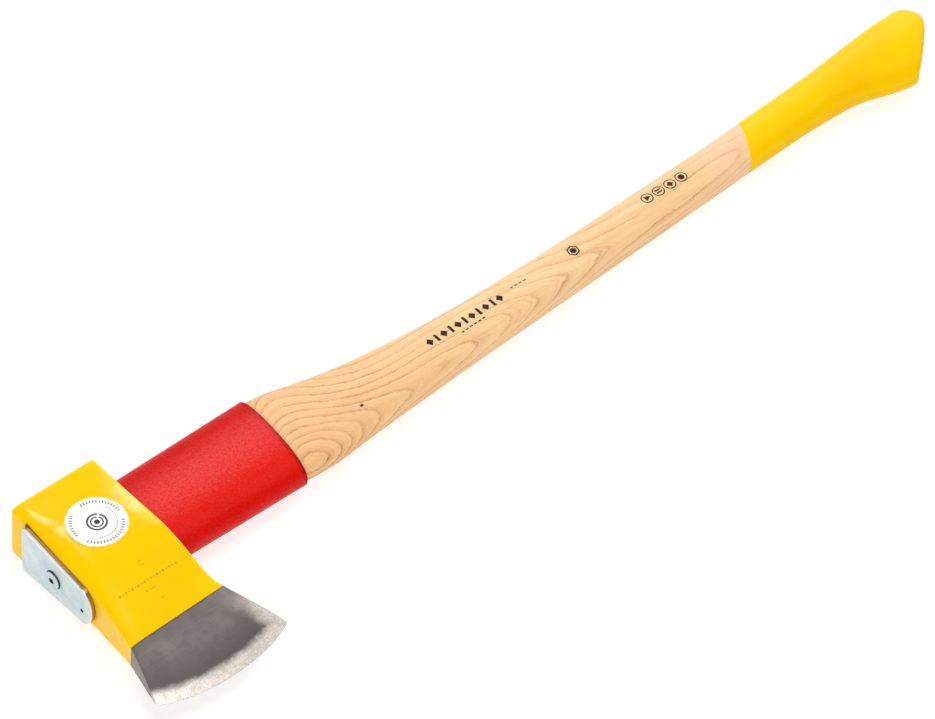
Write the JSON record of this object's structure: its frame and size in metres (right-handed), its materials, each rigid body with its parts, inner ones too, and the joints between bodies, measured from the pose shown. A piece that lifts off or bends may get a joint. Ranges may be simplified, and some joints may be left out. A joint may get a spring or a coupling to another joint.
{
  "type": "splitting axe",
  "caption": "Splitting axe: painted wedge head with flat poll and bare convex bit, screwed securing plate, steel overstrike sleeve, curved ash handle with dipped knob.",
  "frame": {"origin": "middle of the flat poll face (the striking face opposite the cutting edge), in the tool's mid plane", "axes": "+X runs along the handle from the head to the knob; +Y is the outward normal of the poll face, so the cutting edge is at -Y; +Z is the thickness of the tool, out of the cheek that carries the label. The row lies flat on its -Z cheek."},
  "size_m": [0.8129, 0.1849, 0.0473],
  "materials": {
    "head_paint": "gloss yellow enamel over forged steel; the bit is ground bare below a straight paint line",
    "bit_steel": "satin ground steel with a bright polished band along the cutting edge",
    "ash_wood": "sanded pale ash, thin clear oil, long grain with cathedral arches",
    "sleeve_paint": "red powder coat with fine orange peel",
    "zinc_plate": "bright zinc plate with faint blue passivation",
    "screw_steel": "bright zinc plated screw",
    "wedge_wood": "sawn hardwood",
    "label_film": "white adhesive film with plain printed rings",
    "dip_coat": "thin yellow dipped lacquer, satin gloss"
  },
  "bodies": {
    "root": {"axe_head": "head_paint", "ash_handle": "ash_wood", "overstrike_sleeve": "sleeve_paint", "securing_plate": "zinc_plate", "securing_screw": "screw_steel", "handle_wedge": "wedge_wood", "cheek_label": "label_film", "grip_dip_coat": "dip_coat"}
  },
  "joints": []
}
